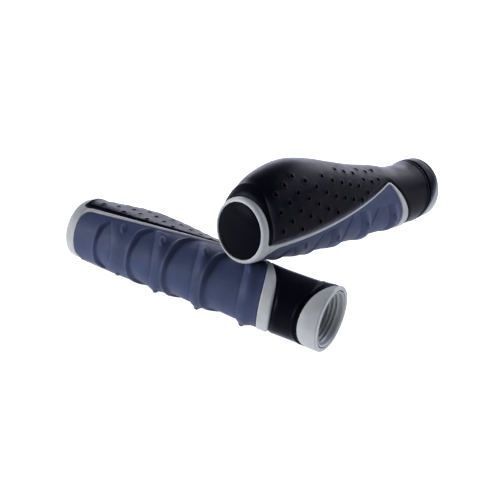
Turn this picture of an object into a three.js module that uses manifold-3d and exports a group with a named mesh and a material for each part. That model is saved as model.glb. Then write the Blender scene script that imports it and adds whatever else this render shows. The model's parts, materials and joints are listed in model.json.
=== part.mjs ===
// A pair of ergonomic handlebar grips with closed outer ends. One grip lies on its side and the
// other leans across it, with its mouth on the surface. Units are millimetres, +Z is up.
//
// Each grip is drawn in its own frame: x runs along the bore from the outer end to the mouth, +z is
// the palm side, and an angle is counted around the bore from the palm side.

import * as THREE from 'three';
import { mergeVertices } from 'three/addons/utils/BufferGeometryUtils.js';
import Module from 'manifold-3d';

// Grip body
const gripLength = 128;
const barDiameter = 22.2;
const slidingRoom = 0.1;
const sleeveWall = 0.9;
const pieceGap = 0.3;
const palmSwell = 13.2;
const palmSwellSharpness = 2.8;
const fingerSwell = 4.2;
const sideSkin = 1.7;
const waistSkin = 0.9;
const mouthSkin = 2.3;
const mouthFlareStart = 0.87;
const mouthFlareEnd = 0.97;
const mouthRounding = 0.7;

// Outer end: a soft ring around the plug
const ringWidthPalm = 3;
const ringWidthFinger = 5;
const ringSkin = 1.4;
const ringRounding = 1.8;

// Piping between the palm pad and the finger pad, and the band that closes it near the mouth
const pipingWidth = 1.3;
const pipingProud = 0.15;
const pipingStartAngle = 120;
const pipingApexAngle = 54;
const pipingSteadyFall = 0.3;
const pipingFallPower = 2.4;
const bandWidthApex = 1.6;
const bandWidthFinger = 4.4;
const bandBulge = 15;
const collarLength = 23;

// The mouth ring, which is widest on the finger side, and the collar's groove and flange behind it
const mouthRingPalm = 0.6;
const mouthRingSide = 2.7;
const mouthRingFinger = 8.1;
const flangeWidth = 6.9;
const flangeWidthLeast = 0.7;
const flangeHeight = 0.2;
const grooveWidth = 0.8;
const grooveDepth = 0.35;

// Gripping ribs inside the mouth
const ribCount = 5;
const ribPitch = 1.8;
const ribHeight = 0.3;
const ribStart = 2;
const boreChamfer = 0.5;

// Soft cushion under the palm pad
const palmPadSkin = 2.2;
const cushionHalfAngle = 44;
const cushionEndClearance = 10;
const cushionWaistClearance = 22;

// End plug: a domed disc and a stem with fins
const plugDiscCover = 0.4;
const plugDiscThickness = 2;
const plugDome = 0.9;
const plugEdgeRounding = 0.5;
const barWall = 1.6;
const plugFirstFin = 3;
const plugFinCount = 3;
const plugFinPitch = 5;
const plugFinThickness = 1;
const plugStemClearance = 1.6;
const plugStemWall = 1.6;
const plugStemLength = 20;

// How the two grips lie
const lyingRoll = -106.5;
const leaningRoll = -18;
const leaningYaw = 76.5;
const leaningAlong = 86;
const leaningAcross = -3;
const restGap = 0.3;

// How finely round pieces are divided, and how much of a gap a flat facet may take up
const facetShareOfGap = 0.5;
const leastCollarRows = 8;
const sleeveSegments = 32;
const plugSegments = 28;
const mouthRingSegments = 32;

// Sizes that follow from the ones above
const boreRadius = barDiameter / 2 + slidingRoom;
const sleeveRadius = boreRadius + sleeveWall;
const skinInner = sleeveRadius + pieceGap;
const plugDiscRadius = sleeveRadius - plugDiscCover;
const ringHoleRadius = plugDiscRadius + pieceGap;
const bandCentre = gripLength - collarLength;
const apexAt = bandCentre - bandBulge;
const pipingStart = ringWidthFinger + pieceGap;

// Heights of the pads along the grip, as [share of the length, share of the swell].
const palmShape = smoothCurve([
  [0.02, 0.08], [0.08, 0.6], [0.16, 0.9], [0.24, 1], [0.34, 0.88], [0.45, 0.64],
  [0.57, 0.38], [0.69, 0.2], [0.79, 0.03], [0.88, 0], [1, 0],
]);
const fingerShape = smoothCurve([
  [0.02, 0.3], [0.08, 0.38], [0.16, 0.67], [0.24, 0.9], [0.36, 1], [0.57, 0.99], [0.79, 0.9], [0.88, 0.83],
  [0.95, 0.69], [1, 0.48],
]);
const sideShape = smoothCurve([
  [0.02, 0.6], [0.08, 1], [0.4, 0.9], [0.57, 0.45], [0.69, 0], [0.92, 0], [1, 1],
]);

const materials = {
  lightGray: new THREE.MeshStandardMaterial({ color: 0xa9adb4, roughness: 0.6, metalness: 0 }),
  black: new THREE.MeshStandardMaterial({ color: 0x14141d, roughness: 0.55, metalness: 0 }),
  blueGray: new THREE.MeshStandardMaterial({ color: 0x444e6d, roughness: 0.6, metalness: 0 }),
  glossBlack: new THREE.MeshStandardMaterial({ color: 0x0c0c12, roughness: 0.25, metalness: 0 }),
  cushion: new THREE.MeshStandardMaterial({ color: 0x3c3d42, roughness: 0.9, metalness: 0 }),
};

// ---- curves and angles ----

function radians(degrees) {
  return THREE.MathUtils.degToRad(degrees);
}

// A smooth curve through [position, value] stations, level with the chord of each station's neighbours.
function smoothCurve(stations) {
  const last = stations.length - 1;
  const slope = (i) => {
    const before = stations[Math.max(i - 1, 0)];
    const after = stations[Math.min(i + 1, last)];
    return (after[1] - before[1]) / (after[0] - before[0]);
  };
  return (position) => {
    const p = THREE.MathUtils.clamp(position, stations[0][0], stations[last][0]);
    const i = Math.min(stations.findLastIndex((station) => station[0] <= p), last - 1);
    const [start, end] = [stations[i], stations[i + 1]];
    const span = end[0] - start[0];
    const t = (p - start[0]) / span;
    const t2 = t * t;
    const t3 = t2 * t;
    return (2 * t3 - 3 * t2 + 1) * start[1] + (t3 - 2 * t2 + t) * span * slope(i)
      + (3 * t2 - 2 * t3) * end[1] + (t3 - t2) * span * slope(i + 1);
  };
}

// The root of a function that rises or falls between low and high.
function solve(f, low, high) {
  const rising = f(high) > f(low);
  for (let step = 0; step < 40; step += 1) {
    const middle = (low + high) / 2;
    if ((f(middle) > 0) === rising) {
      high = middle;
    } else {
      low = middle;
    }
  }
  return (low + high) / 2;
}

// ---- outer surface of the grip ----

function skinThickness(x, angle) {
  const share = x / gripLength;
  const flare = (mouthSkin - waistSkin) * THREE.MathUtils.smoothstep(share, mouthFlareStart, mouthFlareEnd);
  const palm = waistSkin + (palmSwell - waistSkin) * palmShape(share) + flare;
  const finger = fingerSwell * fingerShape(share);
  const side = waistSkin + (sideSkin - waistSkin) * sideShape(share);
  const facing = Math.cos(radians(angle));
  return facing > 0
    ? side + (palm - side) * facing ** palmSwellSharpness
    : side + (finger - side) * facing ** 2;
}

function surfaceRadius(x, angle) {
  return skinInner + skinThickness(x, angle);
}

function gripPoint(x, radius, angle) {
  const a = radians(angle);
  return new THREE.Vector3(x, -radius * Math.sin(a), radius * Math.cos(a));
}

// ---- the piping line and the band line on the surface ----

// Angle of the piping at a station: it falls slowly at first, then faster towards the apex.
function pipingAngle(x) {
  const share = (x - pipingStart) / (apexAt - pipingStart);
  const fall = pipingSteadyFall * share + (1 - pipingSteadyFall) * Math.max(share, 0) ** pipingFallPower;
  return pipingStartAngle - (pipingStartAngle - pipingApexAngle) * fall;
}

// Station of the band at an angle: it bulges from the apex towards the mouth, furthest on the finger side.
function bandStation(angle) {
  const share = (angle - pipingApexAngle) / (180 - pipingApexAngle);
  return apexAt + bandBulge * Math.sin(Math.PI / 2 * Math.min(share, 1));
}

function bandHalfWidth(angle) {
  const share = (angle - pipingApexAngle) / (180 - pipingApexAngle);
  return THREE.MathUtils.lerp(bandWidthApex, bandWidthFinger, THREE.MathUtils.clamp(share, 0, 1)) / 2;
}

// How many degrees a distance across the piping takes up, on a line that slants along the grip.
function acrossPiping(x, distance) {
  const radius = surfaceRadius(x, pipingAngle(x));
  const slant = radians(pipingAngle(x + 0.5) - pipingAngle(x - 0.5)) * radius;
  return THREE.MathUtils.radToDeg(distance / radius) * Math.hypot(1, slant);
}

// How far along the grip a distance across the band reaches.
function acrossBand(angle, distance) {
  const arc = radians(1) * surfaceRadius(bandStation(angle), angle);
  const slant = (bandStation(angle + 0.5) - bandStation(angle - 0.5)) / arc;
  return distance * Math.hypot(1, slant);
}

// Edges of the pads beside the piping and the band. side is +1 for the finger pad and -1 for the palm pad
// and its collar.
function pipingEdge(x, side) {
  return pipingAngle(x) + side * acrossPiping(x, pipingWidth / 2 + pieceGap);
}

function bandEdge(angle, side) {
  return bandStation(angle) - side * acrossBand(angle, bandHalfWidth(angle) + pieceGap);
}

// The station where a pad's piping edge meets its band edge.
function cornerStation(side) {
  return solve((x) => bandEdge(pipingEdge(x, side), side) - x, apexAt - bandBulge, apexAt + bandBulge);
}

// Where the mouth ring's slanted edge lies at an angle.
function mouthRingStart(angle) {
  const slanted = mouthRingSide - (mouthRingFinger - mouthRingSide) * Math.cos(radians(angle));
  return gripLength - Math.max(mouthRingPalm, slanted);
}

// The end of the groove around the collar, which keeps clear of the mouth ring's edge.
function grooveEnd(angle) {
  return Math.min(gripLength - flangeWidth, mouthRingStart(angle) - flangeWidthLeast);
}

// ---- solids ----

const wasm = await Module();
wasm.setup();

function spread(from, to, count) {
  return Array.from({ length: count + 1 }, (_, i) => THREE.MathUtils.lerp(from, to, i / count));
}

// How many rows an angle is divided into, so that the flat facets over the sleeve keep clear of it.
function rowsAcross(degrees) {
  const widest = 2 * Math.acos(1 - (facetShareOfGap * pieceGap) / skinInner);
  return 2 * Math.ceil(radians(degrees) / widest / 2);
}

// Shared corners merged, triangles with no area left out, faces pointing out.
function tidyGeometry(raw) {
  raw.deleteAttribute('normal');
  raw.deleteAttribute('uv');
  const merged = mergeVertices(raw, 1e-3);
  const index = Array.from(merged.index.array);
  const position = merged.attributes.position;
  const corner = [0, 1, 2].map(() => new THREE.Vector3());
  const kept = [];
  let volume = 0;
  for (let i = 0; i < index.length; i += 3) {
    const [a, b, c] = index.slice(i, i + 3);
    if (a !== b && b !== c && c !== a) {
      kept.push([a, b, c]);
      [a, b, c].forEach((vertex, k) => corner[k].fromBufferAttribute(position, vertex));
      volume += corner[0].dot(corner[1].clone().cross(corner[2]));
    }
  }
  merged.setIndex((volume < 0 ? kept.map(([a, b, c]) => [a, c, b]) : kept).flat());
  merged.computeVertexNormals();
  return merged;
}

function closedGeometry(points, triangles) {
  const raw = new THREE.BufferGeometry();
  raw.setAttribute('position', new THREE.Float32BufferAttribute(points.flatMap((p) => p.toArray()), 3));
  raw.setIndex(triangles);
  return tidyGeometry(raw);
}

// A closed solid between two radii over an area of the grip's surface. The area is one or more patches, each
// a grid of { x, angle } points, that join where their points are the same.
function skinSolid(patches, outerRadius, innerRadius) {
  const spots = [];
  const spotByPlace = new Map();
  const triangles = [];
  const spotAt = ({ x, angle }) => {
    const turn = ((angle % 360) + 360) % 360;
    const place = `${x.toFixed(3)} ${turn > 359.9999 ? '0.000' : turn.toFixed(3)}`;
    if (!spotByPlace.has(place)) {
      spotByPlace.set(place, spots.length);
      spots.push({ x, angle });
    }
    return spotByPlace.get(place);
  };
  for (const patch of patches) {
    for (let i = 0; i < patch.length - 1; i += 1) {
      for (let j = 0; j < patch[i].length - 1; j += 1) {
        const corners = [patch[i][j], patch[i + 1][j], patch[i + 1][j + 1], patch[i][j + 1]].map(spotAt);
        const [a, b, c, d] = corners;
        triangles.push(...[[a, b, c], [a, c, d]].filter((t) => new Set(t).size === 3));
      }
    }
  }
  const edges = new Set(triangles.flatMap(([a, b, c]) => [`${a} ${b}`, `${b} ${c}`, `${c} ${a}`]));
  const pairs = [...edges].map((edge) => edge.split(' ').map(Number));
  const rim = pairs.filter(([a, b]) => !edges.has(`${b} ${a}`));
  const count = spots.length;
  const outer = spots.map((spot) => gripPoint(spot.x, outerRadius(spot.x, spot.angle), spot.angle));
  const inner = spots.map((spot) => gripPoint(spot.x, innerRadius(spot.x, spot.angle), spot.angle));
  return closedGeometry([...outer, ...inner], [
    ...triangles.flat(),
    ...triangles.flatMap(([a, b, c]) => [count + a, count + c, count + b]),
    ...rim.flatMap(([a, b]) => [b, a, count + a, b, count + a, count + b]),
  ]);
}

// A closed ring about the bore, with an outline of [x, radius] points at each angle.
function ringSolid(angles, outlineAt) {
  const sections = angles.map((angle) => outlineAt(angle).map(([x, radius]) => gripPoint(x, radius, angle)));
  const corners = sections[0].length;
  const triangles = [];
  for (let i = 0; i < sections.length; i += 1) {
    const next = (i + 1) % sections.length;
    for (let j = 0; j < corners; j += 1) {
      const k = (j + 1) % corners;
      const [a, b, c, d] = [i * corners + j, next * corners + j, next * corners + k, i * corners + k];
      triangles.push(a, b, c, a, c, d);
    }
  }
  return closedGeometry(sections.flat(), triangles);
}

// A solid of revolution about the bore, from a closed outline of [x, radius] points.
function turnedSolid(outline, segments) {
  const profile = outline.map(([x, radius]) => new THREE.Vector2(radius, x));
  const onAxis = outline[0][1] === 0;
  const lathe = new THREE.LatheGeometry(onAxis ? profile : [...profile, profile[0]], segments);
  lathe.rotateZ(-Math.PI / 2);
  return tidyGeometry(lathe);
}

function toManifold(geometry) {
  return new wasm.Manifold(new wasm.Mesh({
    numProp: 3,
    vertProperties: geometry.attributes.position.array,
    triVerts: Uint32Array.from(geometry.index.array),
  }));
}

function fromManifold(solid) {
  const mesh = solid.getMesh();
  const geometry = new THREE.BufferGeometry();
  geometry.setAttribute('position', new THREE.Float32BufferAttribute(mesh.vertProperties, 3));
  geometry.setIndex(Array.from(mesh.triVerts));
  geometry.computeVertexNormals();
  return geometry;
}

// ---- pieces of one grip ----

function innerSleeve() {
  const ribs = [];
  for (let rib = 0; rib < ribCount; rib += 1) {
    const x = gripLength - ribStart - rib * ribPitch;
    ribs.push([x, boreRadius], [x - ribPitch / 2, boreRadius - ribHeight]);
  }
  return turnedSolid([
    [plugDiscThickness + pieceGap, boreRadius],
    [plugDiscThickness + pieceGap, sleeveRadius],
    [gripLength, sleeveRadius],
    [gripLength, boreRadius + boreChamfer],
    [gripLength - boreChamfer, boreRadius],
    ...ribs,
    [gripLength - ribStart - ribCount * ribPitch, boreRadius],
  ], sleeveSegments);
}

// The soft ring around the plug. It is wider on the finger side, and its bore steps in behind the plug.
function endRing() {
  const step = 0.5;
  const crown = skinInner + ringSkin;
  const seat = plugDiscThickness + pieceGap / 2;
  const angles = [
    ...spread(-pipingStartAngle + step, pipingStartAngle - step, 20),
    ...spread(pipingStartAngle + step, 360 - pipingStartAngle - step, 10),
  ];
  return ringSolid(angles, (angle) => {
    const width = Math.abs(angle) < pipingStartAngle ? ringWidthPalm : ringWidthFinger;
    const rounding = [0, 30, 60, 90].map(radians).map((turn) => [
      ringRounding * (1 - Math.cos(turn)),
      crown - ringRounding + ringRounding * Math.sin(turn),
    ]);
    return [
      ...rounding,
      [width, crown],
      [width, skinInner],
      [seat, skinInner],
      [seat - pieceGap / 2, ringHoleRadius],
      [0, ringHoleRadius],
    ];
  });
}

// The palm pad's swell is bounded by the piping. Its collar goes all round, between the band and the mouth.
function palmPad() {
  const side = -1;
  const corner = cornerStation(side);
  const cornerAngle = pipingEdge(corner, side);
  const swellRows = spread(-1, 1, rowsAcross(2 * pipingStartAngle));
  const collarRowCount = Math.max(leastCollarRows, rowsAcross(180 - cornerAngle));
  const swell = spread(ringWidthPalm + pieceGap, corner, 12).map((x) => (
    swellRows.map((share) => ({ x, angle: share * pipingEdge(x, side) }))
  ));
  const collarRows = [
    ...spread(-180, -cornerAngle, collarRowCount).slice(0, -1),
    ...swellRows.map((share) => share * cornerAngle),
    ...spread(cornerAngle, 180, collarRowCount).slice(1),
  ];
  const collarStart = (angle) => (
    Math.abs(angle) <= cornerAngle ? corner : bandEdge(Math.abs(angle), side)
  );
  const lip = 0.2;
  const grooveStations = [-grooveWidth - lip, -grooveWidth, -lip, 0];
  const collar = [
    ...spread(0, 1, 3).slice(0, -1).map((share) => (angle) => (
      THREE.MathUtils.lerp(collarStart(angle), grooveEnd(angle) + grooveStations[0], share)
    )),
    ...grooveStations.map((offset) => (angle) => grooveEnd(angle) + offset),
    (angle) => mouthRingStart(angle) - pieceGap,
  ].map((station) => collarRows.map((angle) => ({ x: station(angle), angle })));
  const rise = (x, angle) => {
    const offset = x - grooveEnd(angle);
    if (offset > -lip / 2) {
      return flangeHeight;
    }
    return offset > -grooveWidth - lip / 2 ? -grooveDepth : 0;
  };
  const outerRadius = (x, angle) => surfaceRadius(x, angle) + rise(x, angle);
  const solid = skinSolid([swell, collar], outerRadius, () => skinInner);
  return fromManifold(toManifold(solid).subtract(toManifold(cushionSolid(pieceGap))));
}

// The cushion's solid or, with a margin, the pocket that it fills, open towards the sleeve.
function cushionSolid(margin) {
  const widened = (from, to, room) => (
    room ? [from - room, ...spread(from, to, 8), to + room] : spread(from, to, 8)
  );
  const angleMargin = THREE.MathUtils.radToDeg(margin / skinInner);
  const angles = widened(-cushionHalfAngle, cushionHalfAngle, angleMargin);
  const stations = widened(ringWidthPalm + cushionEndClearance, apexAt - cushionWaistClearance, margin);
  const patch = stations.map((x) => angles.map((angle) => ({ x, angle })));
  const cover = palmPadSkin + pieceGap - margin;
  return skinSolid([patch], (x, angle) => surfaceRadius(x, angle) - cover, () => skinInner - margin);
}

// The finger pad lies inside the loop of the piping, and its end follows the band.
function fingerPad() {
  const side = 1;
  const corner = cornerStation(side);
  const cornerAngle = pipingEdge(corner, side);
  const rows = spread(-1, 1, rowsAcross(2 * (180 - pipingApexAngle)));
  const grasp = spread(ringWidthFinger + pieceGap, corner, 12).map((x) => (
    rows.map((share) => ({ x, angle: 180 + share * (180 - pipingEdge(x, side)) }))
  ));
  const nose = spread(0, 1, 3).map((share) => rows.map((row) => {
    const angle = 180 + row * (180 - cornerAngle);
    const end = Math.max(corner, bandEdge(180 - Math.abs(angle - 180), side));
    return { x: THREE.MathUtils.lerp(corner, end, share), angle };
  }));
  return skinSolid([grasp, nose], surfaceRadius, () => skinInner);
}

// The loop of piping: up one side, round the band on the finger side, and back down the other side.
function pipingLoop() {
  const half = pipingWidth / 2;
  const corners = { near: loopCorner(-1), far: loopCorner(1) };
  const sidePath = spread(pipingStart, apexAt - 2 * pipingWidth, 14).map((x) => ({
    near: { x, angle: pipingAngle(x) - acrossPiping(x, half) },
    far: { x, angle: pipingAngle(x) + acrossPiping(x, half) },
  }));
  const bandPath = spread(pipingApexAngle + 8, 180, 9).map((angle) => {
    const reach = acrossBand(angle, bandHalfWidth(angle));
    const middle = bandStation(angle);
    return { near: { x: middle + reach, angle }, far: { x: middle - reach, angle } };
  });
  const upAndAcross = [...sidePath, corners, ...bandPath];
  const mirror = ({ x, angle }) => ({ x, angle: 360 - angle });
  const there = upAndAcross.map(({ near, far }) => [near, far]);
  const back = there.slice(0, -1).reverse().map((pair) => pair.map(mirror));
  const patch = [...there, ...back];
  return skinSolid([patch], (x, angle) => surfaceRadius(x, angle) + pipingProud, () => skinInner);
}

// The corner of the piping itself, on its palm side or its finger side.
function loopCorner(side) {
  const edge = (x) => pipingAngle(x) + side * acrossPiping(x, pipingWidth / 2);
  const station = (angle) => bandStation(angle) - side * acrossBand(angle, bandHalfWidth(angle));
  const x = solve((place) => station(edge(place)) - place, apexAt - bandBulge, apexAt + bandBulge);
  return { x, angle: edge(x) };
}

// The soft ring at the mouth. Its edge on the collar is slanted, so it is widest on the finger side.
function mouthRing() {
  const angles = spread(0, 360, mouthRingSegments).slice(0, -1);
  return ringSolid(angles, (angle) => {
    const start = mouthRingStart(angle);
    const shoulder = Math.max(gripLength - mouthRounding, start + 0.1);
    return [
      [start, skinInner],
      [start, surfaceRadius(start, angle)],
      [shoulder, surfaceRadius(shoulder, angle)],
      [gripLength, surfaceRadius(gripLength, angle) - mouthRounding],
      [gripLength, skinInner],
    ];
  });
}

function endPlug() {
  const finRadius = barDiameter / 2 - barWall - pieceGap;
  const stemRadius = finRadius - plugStemClearance;
  const stemEnd = plugDiscThickness + plugStemLength;
  const dome = spread(0, plugDiscRadius - plugEdgeRounding, 4).map((radius) => (
    [-plugDome * (1 - (radius / (plugDiscRadius - plugEdgeRounding)) ** 2), radius]
  ));
  const fins = [];
  for (let fin = 0; fin < plugFinCount; fin += 1) {
    const near = plugDiscThickness + plugFirstFin + plugFinPitch * fin;
    const far = near + plugFinThickness;
    fins.push([near, stemRadius], [near, finRadius], [far, finRadius], [far, stemRadius]);
  }
  return turnedSolid([
    ...dome,
    [plugEdgeRounding, plugDiscRadius],
    [plugDiscThickness, plugDiscRadius],
    [plugDiscThickness, stemRadius],
    ...fins,
    [stemEnd, stemRadius],
    [stemEnd, stemRadius - plugStemWall],
    [plugDiscThickness, stemRadius - plugStemWall],
    [plugDiscThickness, 0],
  ], plugSegments);
}

function buildGrip(name) {
  const pieces = {
    inner_sleeve: [innerSleeve(), materials.lightGray],
    end_ring: [endRing(), materials.lightGray],
    palm_pad: [palmPad(), materials.black],
    palm_cushion: [cushionSolid(0), materials.cushion],
    finger_pad: [fingerPad(), materials.blueGray],
    piping_loop: [pipingLoop(), materials.lightGray],
    mouth_ring: [mouthRing(), materials.lightGray],
    end_plug: [endPlug(), materials.glossBlack],
  };
  const grip = new THREE.Group();
  for (const [piece, [geometry, material]] of Object.entries(pieces)) {
    const mesh = new THREE.Mesh(geometry, material);
    mesh.name = `${name}_${piece}`;
    grip.add(mesh);
  }
  return grip;
}

// ---- how the pair lies ----

// Points all over the grip's outer surface.
const outline = spread(0, gripLength, 64).flatMap((x) => spread(0, 355, 71).map((angle) => {
  const radius = x < ringWidthPalm ? skinInner + ringSkin : surfaceRadius(x, angle);
  return gripPoint(x, radius, angle);
}));

function cornersOf(grip) {
  return grip.children.flatMap(({ geometry }) => {
    const { position } = geometry.attributes;
    const corners = Array.from({ length: position.count }, () => new THREE.Vector3());
    return corners.map((corner, i) => corner.fromBufferAttribute(position, i));
  });
}

function turned(yaw, pitch, roll) {
  const euler = new THREE.Euler(radians(roll), radians(pitch), radians(yaw), 'ZYX');
  return new THREE.Matrix4().makeRotationFromEuler(euler);
}

function lowest(points, matrix) {
  return points.reduce((least, point) => Math.min(least, point.clone().applyMatrix4(matrix).z), Infinity);
}

// The lying grip touches the surface with its swell half and with its mouth half.
function lyingPlace(corners) {
  const outerHalf = corners.filter((corner) => corner.x < gripLength / 2);
  const mouthHalf = corners.filter((corner) => corner.x >= gripLength / 2);
  const tilt = solve((pitch) => {
    const matrix = turned(0, pitch, lyingRoll);
    return lowest(outerHalf, matrix) - lowest(mouthHalf, matrix);
  }, -10, 10);
  const matrix = turned(0, tilt, lyingRoll);
  return matrix.setPosition(0, 0, -lowest(corners, matrix));
}

// The leaning grip's mouth is on the surface, and it is raised until it just clears the lying grip.
function leaningPlace(corners, lying) {
  const intoLying = lying.clone().invert();
  const placeAt = (pitch) => {
    const matrix = turned(leaningYaw, pitch, leaningRoll);
    return matrix.setPosition(leaningAlong, leaningAcross, -lowest(corners, matrix));
  };
  const clearance = (pitch) => {
    const matrix = intoLying.clone().multiply(placeAt(pitch));
    return outline.reduce((least, point) => {
      const place = point.clone().applyMatrix4(matrix);
      const x = THREE.MathUtils.clamp(place.x, 0, gripLength);
      const angle = THREE.MathUtils.radToDeg(Math.atan2(-place.y, place.z));
      const outside = Math.hypot(place.y, place.z) - surfaceRadius(x, angle) - pipingProud;
      return Math.min(least, place.x === x ? outside : Math.hypot(place.x - x, Math.max(outside, 0)));
    }, Infinity);
  };
  return placeAt(solve((pitch) => clearance(pitch) - restGap, 0, 40));
}

const lyingGrip = buildGrip('lying');
const leaningGrip = buildGrip('leaning');
const gripCorners = cornersOf(lyingGrip);
const lyingMatrix = lyingPlace(gripCorners);
lyingMatrix.decompose(lyingGrip.position, lyingGrip.quaternion, lyingGrip.scale);
const leaningMatrix = leaningPlace(gripCorners, lyingMatrix);
leaningMatrix.decompose(leaningGrip.position, leaningGrip.quaternion, leaningGrip.scale);

// The origin is on the surface, under the middle of the pair.
const pair = new THREE.Group();
pair.add(lyingGrip, leaningGrip);
pair.updateMatrixWorld(true);
const box = new THREE.Box3().setFromObject(pair, true);
pair.position.set(-(box.min.x + box.max.x) / 2, -(box.min.y + box.max.y) / 2, -box.min.z);

export default pair;
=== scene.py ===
"""Looks of two handlebar grips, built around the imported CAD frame.

Shapes are worked out in millimetres in each grip's own frame. There x runs along the bore from the outer end
to the mouth, and an angle in degrees runs around the bore from the palm side. The meshes are in metres.
"""

import json
import math

import bpy
import numpy as np
from mathutils import Matrix, Vector
from mathutils.geometry import delaunay_2d_cdt
from mathutils.kdtree import KDTree


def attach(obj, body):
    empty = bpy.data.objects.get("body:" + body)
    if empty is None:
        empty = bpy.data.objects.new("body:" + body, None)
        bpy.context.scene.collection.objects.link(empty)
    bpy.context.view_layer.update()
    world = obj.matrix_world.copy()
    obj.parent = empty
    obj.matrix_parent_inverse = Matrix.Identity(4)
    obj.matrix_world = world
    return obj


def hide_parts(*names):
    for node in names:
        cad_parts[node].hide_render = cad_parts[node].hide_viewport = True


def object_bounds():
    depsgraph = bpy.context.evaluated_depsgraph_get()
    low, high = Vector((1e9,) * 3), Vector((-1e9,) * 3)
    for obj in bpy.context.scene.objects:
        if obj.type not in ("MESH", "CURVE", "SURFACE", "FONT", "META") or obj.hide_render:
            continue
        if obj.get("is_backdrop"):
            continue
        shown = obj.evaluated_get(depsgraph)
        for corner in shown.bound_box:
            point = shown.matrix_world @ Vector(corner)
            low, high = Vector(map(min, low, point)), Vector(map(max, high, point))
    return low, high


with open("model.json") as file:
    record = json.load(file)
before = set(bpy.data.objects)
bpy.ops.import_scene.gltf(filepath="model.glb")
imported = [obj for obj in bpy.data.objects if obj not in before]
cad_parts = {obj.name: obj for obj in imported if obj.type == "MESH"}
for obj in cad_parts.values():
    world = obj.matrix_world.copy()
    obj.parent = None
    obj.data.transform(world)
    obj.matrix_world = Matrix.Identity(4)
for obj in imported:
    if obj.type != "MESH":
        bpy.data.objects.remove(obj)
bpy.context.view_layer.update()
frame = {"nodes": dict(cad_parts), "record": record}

MM = 0.001

# Grip body, after the CAD model
LENGTH = 128.0
BORE = 11.2
SLEEVE = 12.1
SKIN_INNER = 12.4
WAIST_SKIN = 0.9
PALM_SWELL = 13.2
PALM_SHARPNESS = 2.8
FINGER_SWELL = 4.2
SIDE_SKIN = 1.7
MOUTH_SKIN = 2.3
RING_WIDTH_PALM = 3.0
RING_WIDTH_FINGER = 5.3
RING_CROWN = 13.8
RING_HOLE = 12.0
PLUG_RADIUS = 11.7
PIPING_START_ANGLE = 120.0
APEX_ANGLE = 54.0
APEX_X = 90.0
BAND_BULGE = 15.0
FLANGE_WIDTH = 6.9
FLANGE_WIDTH_LEAST = 0.7
GROOVE_WIDTH = 0.8
MOUTH_RING_PALM = 0.6
MOUTH_RING_SIDE = 2.7
MOUTH_RING_FINGER = 8.1

# Meshes: how far apart their points are, on a surface that is unrolled at a mean radius
COARSE = 1.0
EDGE_SPACING = 0.55 * COARSE
END_SPACING = 0.6 * COARSE
PALM_SPACING = 0.95 * COARSE
FINGER_SPACING = 0.62 * COARSE
MEAN_RADIUS = 16

# Piping, and the gap that the pads keep to it. The web is the fillet between the piping and the end ring.
SEAM = 0.07
WEB_RADIUS = 4.8
LOOP_BEND = 1.7
APEX_RADIUS = 13.4
PIPING_PROUD = 0.45
PIPING_ROUNDING = 0.45

# Palm pad. It stands proud up to the first of the fade's stations, and is flush from the second on.
PALM_CORNER_RADIUS = 2.0
PALM_EDGE_ROUNDING = 0.6
PALM_SIDE_ROUNDING = 1.3
PALM_PROUD = 0.5
PALM_PROUD_FADE = (88, 104)
CREASE_X = 6.2
CREASE_SLANT = 2.2
CREASE_HEIGHT = 0.75
CREASE_WIDTH = 0.9
CREASE_END_ANGLE = 118
GROOVE_DEPTH = 0.55
GROOVE_LIP = 0.28
FLANGE_RISE = 0.2
DIMPLE_RADIUS = 0.95
DIMPLE_DEPTH = 0.95
DIMPLE_LIP = 0.16
DIMPLE_PITCH = 7.5
DIMPLE_EDGE_ROOM = 2.2
# Columns of pits: the station, and the way along the skin from the middle of the palm to the first pit
DIMPLE_COLUMNS = [
    (10.5, 13.8), (16.4, 13.3), (22.4, 11.7), (28.3, 15.7), (34.2, 18.9), (40.4, 14.2), (46.6, 15.8),
    (53.0, 9.6), (58.8, 10.2), (65.0, 10.4), (70.5, 7.4), (76.0, 8.6), (81.8, 7.6),
]

# Finger pad
FINGER_EDGE_ROUNDING = 0.5
# Scoops: the steep side, the shallow side, how far round from the middle they reach, and the crest after them
SCOOPS = [(18.2, 27.6, 53, 0.35), (37.4, 49.7, 66, 0.9), (56.3, 70.2, 84, 1.2), (75.8, 92.8, 84, 1.2)]
SCOOP_DEPTH = 1.05
SCOOP_LIP = 0.5
SCOOP_FOLD = 0.22
STEEP_SIDE_CURVE = 4.5
SHALLOW_SIDE_CURVE = 7
# Nubs: the station, and how far round from the middle. The lean is the way that the oval's long side points,
# as its shares around the grip and along it.
NUBS = [(29.2, 45), (50.0, 46.5), (70.2, 56), (92.2, 55.5)]
NUB_HEIGHT = 0.75
NUB_HALF_LENGTH = 3.0
NUB_HALF_WIDTH = 1.25
NUB_LEAN = (0.81, 0.58)
NUB_RADIUS = 15

# Palm cushion, and the pocket that it fills. The roofs are how far below the outer surface their tops are.
CUSHION_START = 13
CUSHION_LENGTH = 55
CUSHION_HALF_ANGLE = 43
CUSHION_RADIUS = 15
CUSHION_ROUNDING = 3.0
CUSHION_FLOOR = SKIN_INNER + 0.05
# The pocket's ends and sides, each as the pair of places between which it fades out
POCKET_START = (12, 17)
POCKET_END = (65, 70)
POCKET_SIDE = (38, 46)
POCKET_ROOF = 2.2
CUSHION_ROOF = 2.6

# Ribs in the sleeve's mouth
RIB_COUNT = 5
RIB_PITCH = 1.8
RIB_DEPTH = 0.55
RIB_SHOULDER = 0.45
RIB_FOOT = 0.08

# End plug
DISC_RADIUS = 11.0
DISC_DOME = 0.9
DISC_BACK = 2.0
STEM_RADIUS = 7.6
STEM_BORE = 6.0
STEM_END = 22.0
FIN_START = 5.0
FIN_PITCH = 5
FIN_RADIUS = 9.2
FIN_CORNER = 8.9

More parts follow.
